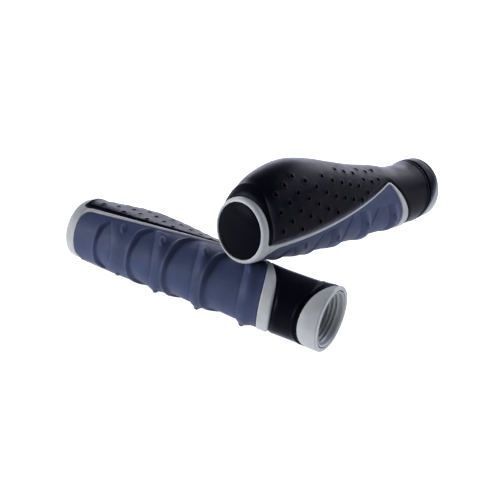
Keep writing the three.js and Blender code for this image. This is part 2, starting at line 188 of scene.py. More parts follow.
# Looks, lights and camera. Rubbing fades out over the wear reach from an edge.
WEAR_REACH = 0.6
VIOLET = (0.62, 0.6, 1.0)
COOL = (0.84, 0.86, 1.0)
WORLD_LIGHT = 0.22
LIGHT_AIM = (0, 0, 0.03)
CAMERA_AZIMUTH = 30.92
CAMERA_ELEVATION = 33.74
CAMERA_PLACE = (188.73, -325.32, 246.81)
CAMERA_LENS = 67.0
# The floor is in metres. It is wide, and beyond its reach it slopes up to the backdrop's reach and rise.
FLOOR_REACH = 40.0
FLOOR_GLOW = 0.85
BACKDROP_REACH = 44.0
BACKDROP_RISE = 3.0


# ---- curves ----

def smooth_curve(stations):
    """A smooth curve through (position, value) stations."""
    x, v = np.array(stations, float).T
    last = len(x) - 1
    before = np.maximum(np.arange(last + 1) - 1, 0)
    after = np.minimum(np.arange(last + 1) + 1, last)
    slope = (v[after] - v[before]) / (x[after] - x[before])

    def value(position):
        p = np.clip(position, x[0], x[-1])
        i = np.clip(np.searchsorted(x, p, side="right") - 1, 0, last - 1)
        span = x[i + 1] - x[i]
        t = (p - x[i]) / span
        rise = t * t * (3 - 2 * t)
        return (v[i] * (1 - rise) + v[i + 1] * rise
                + span * (slope[i] * t * (1 - t) ** 2 - slope[i + 1] * t * t * (1 - t)))

    return value


def smoothstep(value, low, high):
    """0 below low, 1 above high, and a smooth rise between them."""
    t = np.clip((value - low) / (high - low), 0, 1)
    return t * t * (3 - 2 * t)


palm_shape = smooth_curve([
    (0.02, 0.08), (0.08, 0.6), (0.16, 0.9), (0.24, 1), (0.34, 0.88), (0.45, 0.64),
    (0.57, 0.38), (0.69, 0.2), (0.79, 0.03), (0.88, 0), (1, 0),
])
finger_shape = smooth_curve([
    (0.02, 0.3), (0.08, 0.38), (0.16, 0.67), (0.24, 0.9), (0.36, 1),
    (0.57, 0.99), (0.79, 0.9), (0.88, 0.83), (0.95, 0.69), (1, 0.48),
])
side_shape = smooth_curve([
    (0.02, 0.6), (0.08, 1), (0.4, 0.9), (0.57, 0.45), (0.69, 0), (0.92, 0), (1, 1),
])
piping_width = smooth_curve([(0, 1.7), (0.15, 1.45), (0.5, 1.0), (0.85, 0.75), (1, 0.7)])
band_width = smooth_curve([
    (0, 0.7), (0.06, 1.2), (0.15, 1.8), (0.35, 2.8), (0.56, 4.2), (0.8, 5.2), (1, 5.5),
])


def base_radius(x, angle):
    """The grip's outer surface without its small relief."""
    share = x / LENGTH
    flare = (MOUTH_SKIN - WAIST_SKIN) * smoothstep(share, 0.87, 0.97)
    palm = WAIST_SKIN + (PALM_SWELL - WAIST_SKIN) * palm_shape(share) + flare
    finger = FINGER_SWELL * finger_shape(share)
    side = WAIST_SKIN + (SIDE_SKIN - WAIST_SKIN) * side_shape(share)
    facing = np.cos(np.radians(angle))
    towards_palm = side + (palm - side) * np.abs(facing) ** PALM_SHARPNESS
    towards_finger = side + (finger - side) * facing ** 2
    return SKIN_INNER + np.where(facing > 0, towards_palm, towards_finger)


def points_at(x, radius, angle):
    """Places in the grip's frame, in millimetres, one row each."""
    turn = np.radians(angle)
    return np.stack(np.broadcast_arrays(x, -radius * np.sin(turn), radius * np.cos(turn)), -1)


def on_surface(spots):
    """Places in millimetres of (x, angle) spots on the grip's outer surface."""
    x, angle = spots.T
    return points_at(x, base_radius(x, angle), angle)


def piping_angle(x):
    """How far round from the palm side the piping's middle runs at a station."""
    share = (x - RING_WIDTH_FINGER) / (APEX_X - RING_WIDTH_FINGER)
    fall = 0.3 * share + 0.7 * np.maximum(share, 0) ** 2.4
    return PIPING_START_ANGLE - (PIPING_START_ANGLE - APEX_ANGLE) * fall


def band_station(angle):
    """Where the band's middle crosses the finger side."""
    share = (angle - APEX_ANGLE) / (180 - APEX_ANGLE)
    return APEX_X + BAND_BULGE * np.sin(np.pi / 2 * np.minimum(share, 1))


def mouth_ring_start(angle):
    """Where the mouth ring starts: it is widest on the finger side."""
    slanted = MOUTH_RING_SIDE - (MOUTH_RING_FINGER - MOUTH_RING_SIDE) * np.cos(np.radians(angle))
    return LENGTH - np.maximum(MOUTH_RING_PALM, slanted)


def groove_end(angle):
    """Where the collar's groove ends and its flange starts."""
    return np.minimum(LENGTH - FLANGE_WIDTH, mouth_ring_start(angle) - FLANGE_WIDTH_LEAST)


# ---- the loop of piping and band, as a centre line of (x, angle) with a width ----

def loop_line():
    """The middle line of half the loop, from the end ring to the middle of the band, and its width."""
    along = np.linspace(2.5, APEX_X - LOOP_BEND, 110)
    across = np.linspace(APEX_ANGLE + math.degrees(LOOP_BEND / APEX_RADIUS), 180, 90)
    start = np.array([along[-1], piping_angle(along[-1])])
    end = np.array([band_station(across[0]), across[0]])
    middle = np.array([APEX_X, APEX_ANGLE])
    t = np.linspace(0, 1, 14)[1:-1, None]
    bend = (1 - t) ** 2 * start + 2 * t * (1 - t) * middle + t * t * end
    line = np.concatenate([
        np.stack([along, piping_angle(along)], 1), bend, np.stack([band_station(across), across], 1)])
    on_piping = np.clip((line[:, 0] - RING_WIDTH_FINGER) / (APEX_X - RING_WIDTH_FINGER), 0, 1)
    on_band = np.clip((line[:, 1] - APEX_ANGLE) / (180 - APEX_ANGLE), 0, 1)
    is_band = np.arange(len(line)) > len(along) + len(bend) // 2
    return line, np.where(is_band, band_width(on_band), piping_width(on_piping))


def beside_loop(side, room):
    """The loop's edge, or a line beside it. side is +1 towards the finger pad, -1 towards the palm pad."""
    line, width = loop_line()
    x, angle = line.T
    radius = base_radius(x, angle)
    along = np.gradient(x)
    around = np.radians(np.gradient(angle)) * radius
    length = np.hypot(along, around)
    distance = width / 2 + room
    if side > 0:
        into_web = np.clip(RING_WIDTH_FINGER + WEB_RADIUS - x, 0, WEB_RADIUS)
        fillet = WEB_RADIUS - np.sqrt(WEB_RADIUS ** 2 - into_web ** 2)
        distance = distance + np.where(angle > 100, fillet, 0)
    edge = np.stack([x - side * distance * around / length,
                     angle + side * np.degrees(distance * along / length / radius)], 1)
    edge[-1, 1] = 180
    return edge


def trimmed(edge, start):
    """The part of an edge line past a station, with a point put in at the station itself."""
    i = int(np.argmax(edge[:, 0] > start))
    share = (start - edge[i - 1, 0]) / (edge[i, 0] - edge[i - 1, 0])
    first = edge[i - 1] + share * (edge[i] - edge[i - 1])
    first[0] = start
    return np.concatenate([[first], edge[i:]])


def resampled(line, spacing):
    """A line of (x, angle) points with even spacing on the surface, ends kept."""
    place = on_surface(line)
    along = np.concatenate([[0], np.cumsum(np.linalg.norm(np.diff(place, axis=0), axis=1))])
    count = max(2, int(round(along[-1] / spacing)) + 1)
    at = np.linspace(0, along[-1], count)
    return np.stack([np.interp(at, along, line[:, 0]), np.interp(at, along, line[:, 1])], 1)


def mirrored(line, turn=0.0):
    """The same line on the other side of the grip, run backwards."""
    back = line[::-1].copy()
    back[:, 1] = turn - back[:, 1]
    return back


# ---- closed skins over an area of the surface ----

def triangulate(loop, inside):
    """Delaunay triangles of the area within a closed loop of (x, angle) points. It gives spots and
    triangles, and the loop's own points come first, in order."""
    scale = np.array([1.0, math.radians(1) * MEAN_RADIUS])
    flat = np.concatenate([loop, inside]) * scale
    count = len(loop)
    edges = [(i, (i + 1) % count) for i in range(count)]
    spots, _, faces, origins, _, _ = delaunay_2d_cdt([Vector(p) for p in flat], edges, [], 1, 1e-7)
    spots = np.array(spots) / scale
    used = sorted({v for face in faces for v in face})
    first = {}
    for i in used:
        for origin in origins[i]:
            first[origin] = i
    order = [first[i] for i in range(count)]
    rest = [i for i in used if i not in set(order)]
    rank = {old: new for new, old in enumerate(order + rest)}
    triangles = np.array([[rank[v] for v in face] for face in faces])
    return spots[order + rest], triangles


def honeycomb(x_range, angle_range, spacing):
    """Staggered (x, angle) points that fill a range of stations and angles."""
    step = math.degrees(spacing / MEAN_RADIUS)
    columns = np.arange(x_range[0], x_range[1], spacing * 0.87)
    rows = np.arange(angle_range[0], angle_range[1], step)
    x, angle = np.meshgrid(columns, rows, indexing="ij")
    angle = angle + (np.arange(len(columns)) % 2)[:, None] * step / 2
    return np.stack([x.ravel(), angle.ravel()], 1)


class Near:
    """Distance from the nearest of some spots on the surface. A spot is an (x, angle) pair."""

    def __init__(self, spots):
        self.tree = KDTree(len(spots))
        for number, place in enumerate(on_surface(spots)):
            self.tree.insert(place, number)
        self.tree.balance()

    def distance(self, spots):
        return np.array([self.tree.find(place)[2] for place in on_surface(spots)])


def rim_of(lines):
    """Distance from a piece's outline."""
    return Near(np.concatenate([resampled(line, 0.05) for line in lines]))


def rows_inside(loop, rim, distances):
    """Rows of points that follow the outline at these distances inside it."""
    radius = base_radius(loop[:, 0], loop[:, 1])
    ahead = np.roll(loop, -1, 0) - np.roll(loop, 1, 0)
    along = ahead[:, 0]
    around = np.radians(ahead[:, 1]) * radius
    length = np.hypot(along, around)
    found = []
    for distance in distances:
        spots = np.stack([loop[:, 0] - distance * around / length,
                          loop[:, 1] + np.degrees(distance * along / length / radius)], 1)
        away = rim.distance(spots)
        found.append(spots[(away > 0.85 * distance) & (away < 1.2 * distance)])
    return np.concatenate(found)


def closed_skin(loop, rim, inside, outer, inner, inner_inside, rounding, seamless):
    """Vertices in millimetres, triangles and edge closeness of a closed solid. It has an outer sheet with
    rounded edges, an inner sheet and the walls between them. seamless marks the loop's steps with no wall."""
    spots, triangles = triangulate(loop, inside)
    away = rim.distance(spots)
    away[:len(loop)][rim_points(loop, seamless)] = 0
    reach = rounding(spots[:, 0])
    depth = np.clip(1 - away / reach, 0, 1)
    radius = outer(spots[:, 0], spots[:, 1]) - reach * (1 - np.sqrt(1 - depth ** 2))
    top = points_at(spots[:, 0], radius, spots[:, 1])
    inner_spots, inner_triangles = triangulate(loop, inner_inside)
    bottom = points_at(inner_spots[:, 0], inner(inner_spots[:, 0], inner_spots[:, 1]), inner_spots[:, 1])
    shift = len(top)
    count = len(loop)
    walls = []
    for i in range(count):
        j = (i + 1) % count
        if not seamless[i]:
            walls += [[i, shift + i, shift + j], [i, shift + j, j]]
    faces = np.concatenate([triangles[:, ::-1], inner_triangles + shift, np.array(walls)])
    closeness = np.concatenate([np.exp(-away / WEAR_REACH), np.ones(len(bottom))])
    return np.concatenate([top, bottom]), faces, closeness


def rim_points(loop, seamless):
    """True for the loop's points that lie on a real edge of the piece."""
    seamless = np.array(seamless)
    return ~(seamless & np.roll(seamless, 1))


def make_mesh(name, place, points, faces, closeness):
    """A mesh in metres from millimetres in a grip's frame. Points in one place are joined, and the faces are
    turned outward."""
    _, first, joined = np.unique(np.round(points, 4), axis=0, return_index=True, return_inverse=True)
    joined = joined.ravel()
    kept = []
    for face in faces:
        corners = list(dict.fromkeys(int(joined[v]) for v in face))
        if len(corners) > 2:
            kept.append(corners)
    placed = points[first] * MM @ np.array(place.to_3x3()).T + np.array(place.translation)
    middle = placed.mean(0)
    spots = placed - middle
    volume = sum(float(np.dot(spots[face[0]], np.cross(spots[face[i]], spots[face[i + 1]])))
                 for face in kept for i in range(1, len(face) - 1))
    if volume < 0:
        kept = [face[::-1] for face in kept]
    mesh = bpy.data.meshes.new(name)
    mesh.from_pydata(placed.tolist(), [], kept)
    mesh.polygons.foreach_set("use_smooth", [True] * len(kept))
    worn = mesh.attributes.new("edge", "FLOAT", "POINT")
    worn.data.foreach_set("value", closeness[first].astype(np.float32))
    mesh.update()
    return mesh


def without_wear(points, faces):
    """A shape with none of its edges marked as rubbed."""
    return points, faces, np.zeros(len(points))


# ---- relief ----

def dimple_places():
    """Centres of the pits in the palm pad, in columns, evenly spaced along the skin's curve. The middle of
    the palm has none."""
    found = []
    edge = beside_loop(-1, 0)
    side = edge[: int(np.argmin(edge[:, 1]))]
    angle = np.linspace(0, 130, 260)
    for x, first in DIMPLE_COLUMNS:
        radius = base_radius(np.full_like(angle, x), angle)
        step = np.hypot(np.diff(radius), radius[1:] * np.radians(angle[1]))
        arc = np.concatenate([[0], np.cumsum(step)])
        limit = np.interp(np.interp(x, side[:, 0], side[:, 1]), angle, arc) - DIMPLE_EDGE_ROOM
        pitch = DIMPLE_PITCH - 0.4 * (x / 35) ** 2
        for turn in np.interp(np.arange(first, limit, pitch), arc, angle):
            found += [(x, turn), (x, -turn)]
    return np.array(found)


DIMPLES = dimple_places()
NEAR_DIMPLES = Near(DIMPLES)


def crease_station(angle):
    """Where the crease at the palm pad's outer end runs. It curves towards the end ring at its sides."""
    return CREASE_X - CREASE_SLANT * smoothstep(np.abs(angle), 10, 78)


def palm_surface(x, angle):
    """The palm pad and its collar, with pits, the crease at the outer end, and the groove and flange."""
    angle = (angle + 180) % 360 - 180
    reach = NEAR_DIMPLES.distance(np.stack([x, angle], 1))
    pits = DIMPLE_DEPTH * (1 - smoothstep(reach, 0.5 * DIMPLE_RADIUS, DIMPLE_RADIUS))
    pits -= DIMPLE_LIP * np.exp(-((reach - 1.15 * DIMPLE_RADIUS) / 0.25) ** 2)
    away = np.abs(x - crease_station(angle))
    crease_fade = smoothstep(CREASE_END_ANGLE - np.abs(angle), 0, 25)
    crease = CREASE_HEIGHT * np.exp(-np.sqrt(away ** 2 + 0.04) / CREASE_WIDTH) * crease_fade
    past = x - groove_end(angle)
    on_flange = smoothstep(past, -0.2, 0.05)
    groove = smoothstep(past, -GROOVE_WIDTH - 0.15, -GROOVE_WIDTH + 0.15) * (1 - on_flange)
    flange = FLANGE_RISE * on_flange
    lip = GROOVE_LIP * np.exp(-((past + GROOVE_WIDTH + 0.6) / 0.4) ** 2)
    proud = PALM_PROUD * (1 - smoothstep(x, *PALM_PROUD_FADE))
    return base_radius(x, angle) + proud + crease - pits - GROOVE_DEPTH * groove + flange + lip


def scoop_relief(x, off_centre, scoop):
    """One finger scoop: a steep side with a lip before it, a floor that rises towards the mouth, a crest."""
    near, far, top, crest = scoop
    share = np.clip(off_centre / top, 0, 1)
    left = near + STEEP_SIDE_CURVE * np.clip((share - 0.6) / 0.4, 0, 1) ** 2
    right = far - SHALLOW_SIDE_CURVE * share ** 1.7
    below_top = 1 - smoothstep(off_centre, top - 2.5, top + 0.5)
    between = smoothstep(x, left - 0.1, left + 0.5) * (1 - smoothstep(x, right - 0.5, right + 0.5))
    inside = between * below_top
    shallower = 1 - 0.6 * smoothstep(off_centre, 60, 88)
    depth = SCOOP_DEPTH * (0.55 + 0.45 * smoothstep(off_centre, 5, 35)) * shallower
    floor = depth * (1 - 0.7 * smoothstep(x, left + 0.5, right))
    lip_fade = 1 - smoothstep(off_centre, top - 8, top + 3)
    lip = SCOOP_LIP * np.exp(-((x - left + 0.75) / 0.65) ** 2) * lip_fade
    rise = smoothstep(x, right - 0.4, right + 3.4) * (1 - smoothstep(x, right + 3.6, right + 8.0))
    fold = SCOOP_FOLD * np.exp(-((x - right + 0.2) / 0.35) ** 2) * below_top * shallower
    rise *= shallower * (0.35 + 0.65 * smoothstep(off_centre, 8, 40))
    return lip - fold - floor * inside + crest * rise * below_top


def nub_relief(x, off_centre, nub):
    """A small raised oval that leans towards the outer end."""
    station, middle = nub
    across = x - station
    around = np.radians(off_centre - middle) * NUB_RADIUS
    lean_around, lean_across = NUB_LEAN
    along = (lean_around * around - lean_across * across) / NUB_HALF_LENGTH
    aside = (lean_across * around + lean_around * across) / NUB_HALF_WIDTH
    return NUB_HEIGHT * (1 - smoothstep(np.hypot(along, aside), 0.5, 1.0))


def finger_surface(x, angle):
    """The finger pad with its scoops, the crests between them and the small oval nubs."""
    off_centre = np.abs(angle - 180)
    relief = sum(scoop_relief(x, off_centre, scoop) for scoop in SCOOPS)
    relief += sum(nub_relief(x, off_centre, nub) for nub in NUBS)
    calm = smoothstep(FINGER_RIM.distance(np.stack([x, angle], 1)), 0.5, 2.2)
    return base_radius(x, angle) + relief * calm


# ---- outlines of the pads ----

def finger_outline():
    """The finger pad's outline: its edge on each side, and its end beside the end ring."""
    start = RING_WIDTH_FINGER + SEAM
    edge = resampled(trimmed(beside_loop(1, SEAM), start), EDGE_SPACING)
    across = resampled(np.array([[start, 360 - edge[0, 1]], [start, edge[0, 1]]]), END_SPACING)
    return [edge, mirrored(edge, 360), across]


def palm_edge():
    """The palm pad's edge beside the piping, from its rounded corner to the back of the collar."""
    return trimmed(beside_loop(-1, SEAM), RING_WIDTH_PALM + SEAM + PALM_CORNER_RADIUS)


def palm_outline():
    """The palm pad's outline. At the back of the collar is a seam, where the unrolled sheet meets itself."""
    edge = resampled(palm_edge(), EDGE_SPACING)
    angles = np.linspace(-edge[0, 1], edge[0, 1], 160)
    end = np.stack([ring_edge(angles, edge[0, 1]) + SEAM, angles], 1)
    mouth_angles = np.linspace(180, -180, 190)
    mouth = np.stack([mouth_ring_start(mouth_angles) - SEAM, mouth_angles], 1)
    seam = resampled(np.array([edge[-1], mouth[0]]), 0.8)
    return [resampled(end, END_SPACING), edge, seam, resampled(mouth, END_SPACING),
            mirrored(seam), mirrored(edge)]


def ring_edge(angle, corner_angle):
    """Width of the end ring beside the palm pad, with a fillet in the pad's corners."""
    arc = np.clip(np.radians(corner_angle - np.abs(angle)) * RING_CROWN, 0, PALM_CORNER_RADIUS)
    fillet = PALM_CORNER_RADIUS - np.sqrt(PALM_CORNER_RADIUS ** 2 - (PALM_CORNER_RADIUS - arc) ** 2)
    return RING_WIDTH_PALM + fillet


FINGER_OUTLINE = finger_outline()
FINGER_RIM = rim_of(FINGER_OUTLINE)


def joined_loop(lines):
    """One closed loop from lines that meet end to end."""
    return np.concatenate([line[:-1] for line in lines])


def rings_round(centres, rings):
    """Rings of points round each centre, from (radius, count) pairs."""
    found = []
    for x, angle in centres:
        radius = float(base_radius(np.array(x), np.array(angle)))
        for reach, count in rings:
            turn = np.linspace(0, 2 * np.pi, count, endpoint=False) + reach
            found.append(np.stack([x + reach * np.cos(turn),
                                   angle + np.degrees(reach * np.sin(turn) / radius)], 1))
    return np.concatenate(found)


def groove_rows(rim):
    """Rows of points along the collar's groove and its two edges."""
    around = np.linspace(-178, 178, 150)
    rows = np.concatenate([
        np.stack([groove_end(around) + offset, around], 1)
        for offset in (-1.9, -1.5, -1.2, -0.95, -0.65, -0.45, -0.2, -0.05, 0.1)])
    return rows[rim.distance(rows) > 0.3]


def crease_rows(rim):
    """Rows of points along the crease."""
    around = np.linspace(-108, 108, 120)
    rows = np.concatenate([
        np.stack([crease_station(around) + offset, around], 1) for offset in (-0.45, -0.15, 0.15, 0.5)])
    return rows[rim.distance(rows) > 1.0]


def palm_cells(rim):
    """Evenly spread points for the palm pad, away from its rim, pits, groove, crease and seam."""
    cells = honeycomb((2, LENGTH), (-180, 180), PALM_SPACING)
    x, angle = cells.T
    past = x - groove_end(angle)
    clear = (rim.distance(cells) > 1.6) & (NEAR_DIMPLES.distance(cells) > 1.65) & (np.abs(angle) < 177.5)
    clear &= (past < -2.2) | (past > 0.5)
    clear &= np.abs(x - crease_station(angle)) > 0.75
    return cells[clear]


def palm_pad():
    """The palm pad and its collar in one skin, hollow over the cushion."""
    lines = palm_outline()
    loop = joined_loop(lines)
    real_edges = (0, 1, 3, 5)
    rim = rim_of([lines[part] for part in real_edges])
    seamless = np.concatenate([
        np.full(len(line) - 1, part not in real_edges) for part, line in enumerate(lines)])
    pits = rings_round(DIMPLES, [
        (0.001, 1), (0.25, 6), (0.44, 10), (0.56, 12), (0.68, 14), (0.8, 14), (0.92, 14), (1.1, 14),
        (1.35, 14)])
    pits = pits[rim.distance(pits) > 1.5]
    beside_rim = rows_inside(loop, rim, [0.05, 0.15, 0.32, 0.55, 0.82, 1.1, 1.4])
    inside = np.concatenate([palm_cells(rim), pits, groove_rows(rim), crease_rows(rim), beside_rim])
    pocket_cells = honeycomb((8, 100), (-100, 100), 2.6)
    pocket_cells = pocket_cells[rim.distance(pocket_cells) > 1.0]

    def inner(x, angle):
        depth = base_radius(x, angle) - POCKET_ROOF - SKIN_INNER
        return SKIN_INNER + np.maximum(depth, 0) * in_pocket(x, angle, 0.0)

    def rounding(x):
        beside_piping = smoothstep(x, 4, 8) * (1 - smoothstep(x, 84, 90))
        return PALM_EDGE_ROUNDING + (PALM_SIDE_ROUNDING - PALM_EDGE_ROUNDING) * beside_piping

    return closed_skin(loop, rim, inside, palm_surface, inner, pocket_cells, rounding, seamless)


def in_pocket(x, angle, margin):
    """1 well inside the cushion's pocket, 0 outside it. The margin makes the pocket smaller all round."""
    start_low, start_high = POCKET_START
    end_low, end_high = POCKET_END
    side_low, side_high = POCKET_SIDE
    along = (smoothstep(x, start_low + margin, start_high + margin)
             * (1 - smoothstep(x, end_low - margin, end_high - margin)))
    return along * (1 - smoothstep(np.abs(angle), side_low - margin * 3, side_high - margin * 3))


def finger_pad():
    """The skin on the finger side, with its relief."""
    loop = joined_loop(FINGER_OUTLINE)
    cells = honeycomb((5, 104), (50, 310), FINGER_SPACING)
    cells = cells[FINGER_RIM.distance(cells) > 0.75]
    inside = np.concatenate([cells, rows_inside(loop, FINGER_RIM, [0.04, 0.12, 0.25, 0.42, 0.62])])
    sparse = honeycomb((7, 102), (60, 300), 4.0)
    sparse = sparse[FINGER_RIM.distance(sparse) > 1.5]

    def inner(x, angle):
        return np.full_like(x, SKIN_INNER)

    def rounding(x):
        return FINGER_EDGE_ROUNDING

    seamless = np.zeros(len(loop), bool)
    return closed_skin(loop, FINGER_RIM, inside, finger_surface, inner, sparse, rounding, seamless)


# ---- swept and turned pieces ----

def tube_faces(sections, corners, closed):
    """Quads between neighbouring sections with the same number of corners, and end caps if it is open."""
    faces = []
    for i in range(sections if closed else sections - 1):
        here = i * corners
        there = (i + 1) % sections * corners
        for j in range(corners):
            k = (j + 1) % corners
            faces.append([here + j, there + j, there + k, here + k])
    if not closed:
        faces += [list(range(corners))[::-1], list(range((sections - 1) * corners, sections * corners))]
    return faces


def piping_loop():
    """The rounded strip of piping and the band, from the end ring on one side round to the other side."""
    spots = 260
    start = RING_WIDTH_FINGER + 0.02
    near = evenly(trimmed(beside_loop(-1, 0), start), spots)
    far = evenly(trimmed(beside_loop(1, 0), start), spots)
    near = np.concatenate([near, mirrored(near, 360)[1:]])
    far = np.concatenate([far, mirrored(far, 360)[1:]])
    shares = np.array([0, 0.03, 0.1, 0.22, 0.36, 0.5, 0.64, 0.78, 0.9, 0.97, 1])
    sections = []
    for a, b in zip(near, far):
        across = a + shares[:, None] * (b - a)
        surface = base_radius(across[:, 0], across[:, 1])
        place = points_at(across[:, 0], surface, across[:, 1])
        width = float(np.linalg.norm(place[-1] - place[0]))
        rounding = min(PIPING_ROUNDING, width / 2)
        away = np.minimum(shares, 1 - shares) * width
        depth = np.clip(1 - away / rounding, 0, 1)
        rise = PIPING_PROUD * smoothstep(a[0], RING_WIDTH_FINGER, RING_WIDTH_FINGER + 5)
        top = surface + rise - rounding * (1 - np.sqrt(1 - depth ** 2))
        outer = points_at(across[:, 0], top, across[:, 1])
        inner = points_at(across[[-1, 0], 0], SKIN_INNER, across[[-1, 0], 1])
        sections.append(np.concatenate([outer, inner]))
    corners = len(shares) + 2
    points = np.concatenate(sections)
    return without_wear(points, tube_faces(len(sections), corners, False))


def evenly(line, count):
    """A line at a fixed number of points, evenly spaced on the surface."""
    dense = resampled(line, 0.02)
    return dense[np.linspace(0, len(dense) - 1, count).round().astype(int)]


def ring_of(angles, outline_at):
    """A closed ring about the bore from an outline of (x, radius) points at each angle."""
    sections = [points_at(*np.array(outline_at(angle), float).T, angle) for angle in angles]
    return without_wear(np.concatenate(sections), tube_faces(len(sections), len(sections[0]), True))


def arc_points(centre, radius, start, end, count):
    """(x, radius) points on an arc. At 0 degrees it faces the mouth, and at 90 degrees it faces outward."""
    turns = np.radians(np.linspace(start, end, count))
    return [(centre[0] + radius * math.cos(t), centre[1] + radius * math.sin(t)) for t in turns]


def end_ring():
    """The ring round the plug, narrow beside the palm pad and wider beside the finger pad."""
    shoulder = 1.75
    corner_angle = float(palm_edge()[0, 1])
    half = np.concatenate([
        np.linspace(0, corner_angle - 7, 60),
        np.linspace(corner_angle - 6.6, corner_angle, 14),
        np.linspace(corner_angle + 0.2, 180, 44),
    ])
    angles = np.concatenate([half, 360 - half[::-1][1:-1]])

    def outline(angle):
        turned = min(angle, 360 - angle)
        wide_part = turned > corner_angle
        width = RING_WIDTH_FINGER - 0.02 if wide_part else float(ring_edge(np.array(turned), corner_angle))
        lip = 0.05 if wide_part else 0.3
        return [
            *arc_points((shoulder, RING_CROWN - shoulder), shoulder, 180, 90, 12),
            (width - lip, RING_CROWN + 0.02),
            *arc_points((width - lip, RING_CROWN + 0.02 - lip), lip, 70, 0, 4),
            (width, SKIN_INNER),
            (2.2, SKIN_INNER),
            (2.1, RING_HOLE),
            (0.35, RING_HOLE),
            *arc_points((0.35, RING_HOLE + 0.3), 0.3, 270, 190, 4),
        ]

    return ring_of(angles, outline)


def mouth_ring():
    """The ring at the mouth, with a slanted edge beside the collar and a rounded rim."""
    proud = 0.12
    angles = np.linspace(0, 360, 128, endpoint=False)

    def outline(angle):
        start = float(mouth_ring_start(np.array(angle)))
        width = LENGTH - start
        rounding = min(0.75, width * 0.8)
        edge = min(0.2, width * 0.2)
        crown = float(base_radius(np.array(LENGTH - rounding), np.array(angle))) + proud
        first = float(base_radius(np.array(start), np.array(angle))) + proud
        return [
            (start, SKIN_INNER),
            (start, first - edge),
            (start + edge * 0.3, first - edge * 0.3),
            (start + edge, first),
            (start + (width - rounding) * 0.5, (first + crown) / 2),
            *arc_points((LENGTH - rounding, crown - rounding), rounding, 90, 0, 8),
            (LENGTH, SKIN_INNER + 0.3),
            (LENGTH - 0.15, SKIN_INNER + 0.12),
            (LENGTH - 0.6, SKIN_INNER),
        ]

    return ring_of(angles, outline)


def turned_piece(outline, segments):
    """A solid of revolution about the bore from a closed outline of (x, radius) points."""
    return ring_of(np.linspace(0, 360, segments, endpoint=False), lambda angle: outline)


def inner_sleeve():
    """The tube that slides on the bar, with a chamfered mouth and ribs inside it."""
    ribs = []
    for rib in range(RIB_COUNT):
        top = LENGTH - 2.0 - rib * RIB_PITCH
        ribs += [
            (top, BORE), (top - 0.25, BORE - RIB_FOOT), (top - 0.55, BORE - RIB_SHOULDER),
            (top - 0.8, BORE - RIB_DEPTH), (top - 1.05, BORE - RIB_SHOULDER), (top - 1.35, BORE - RIB_FOOT),
        ]
    outline = [
        (2.3, BORE), (2.3, SLEEVE), (LENGTH - 0.7, SLEEVE), (LENGTH - 0.2, SLEEVE - 0.14),
        (LENGTH - 0.04, SLEEVE - 0.3), (LENGTH, BORE + 0.5), (LENGTH - 0.1, BORE + 0.36),
        (LENGTH - 0.55, BORE + 0.03), (LENGTH - 0.8, BORE), *ribs,
        (LENGTH - 11.4, BORE), (LENGTH - 60, BORE),
    ]
    return turned_piece(outline, 128)


def end_plug():
    """The domed disc, with a soft shoulder, and the hollow stem with its fins."""
    dome = [
        (-DISC_DOME * (1 - (radius / DISC_RADIUS) ** 2.2), radius) for radius in np.linspace(0, 10.9, 16)]
    fins = []
    for fin in range(3):
        near = FIN_START + FIN_PITCH * fin
        fins += [
            (near, STEM_RADIUS), (near, FIN_CORNER), (near + 0.15, FIN_RADIUS), (near + 0.85, FIN_RADIUS),
            (near + 1, FIN_CORNER), (near + 1, STEM_RADIUS),
        ]
    outline = [
        *dome, *arc_points((0.55, 11.15), 0.55, 170, 90, 6),
        (DISC_BACK, PLUG_RADIUS), (DISC_BACK, STEM_RADIUS), *fins,
        (STEM_END - 0.4, STEM_RADIUS), (STEM_END, STEM_RADIUS - 0.4),
        (STEM_END, STEM_BORE), (DISC_BACK, STEM_BORE), (DISC_BACK, 0),
    ]
    return turned_piece(outline, 96)


def palm_cushion():
    """A soft crowned pad that fills the pocket in the palm swell, with rounded sides."""
    along = np.linspace(0, 1, 56)
    across = np.linspace(-1, 1, 45)
    x, share = np.meshgrid(CUSHION_START + CUSHION_LENGTH * along, across, indexing="ij")
    angle = CUSHION_HALF_ANGLE * share
    side = (1 - np.abs(share)) * math.radians(CUSHION_HALF_ANGLE) * CUSHION_RADIUS
    end = np.minimum(x - CUSHION_START, CUSHION_START + CUSHION_LENGTH - x)
    swell = np.minimum(np.clip(side / CUSHION_ROUNDING, 0, 1), np.clip(end / CUSHION_ROUNDING, 0, 1))
    full = np.sqrt(1 - (1 - swell) ** 2)
    room = np.maximum(base_radius(x, angle) - CUSHION_ROOF - SKIN_INNER, 0.2) * in_pocket(x, angle, 0.3)
    top = points_at(x, CUSHION_FLOOR + (room + 0.1) * full, angle)
    bottom = points_at(x, CUSHION_FLOOR, angle)
    rows, columns = x.shape
    faces = []
    for i in range(rows - 1):
        for j in range(columns - 1):
            here = i * columns + j
            there = here + columns
            face = [here, there, there + 1, here + 1]
            faces.append(face)
            faces.append([corner + rows * columns for corner in reversed(face)])
    points = np.concatenate([top.reshape(-1, 3), bottom.reshape(-1, 3)])
    return without_wear(points, faces)


# ---- materials ----

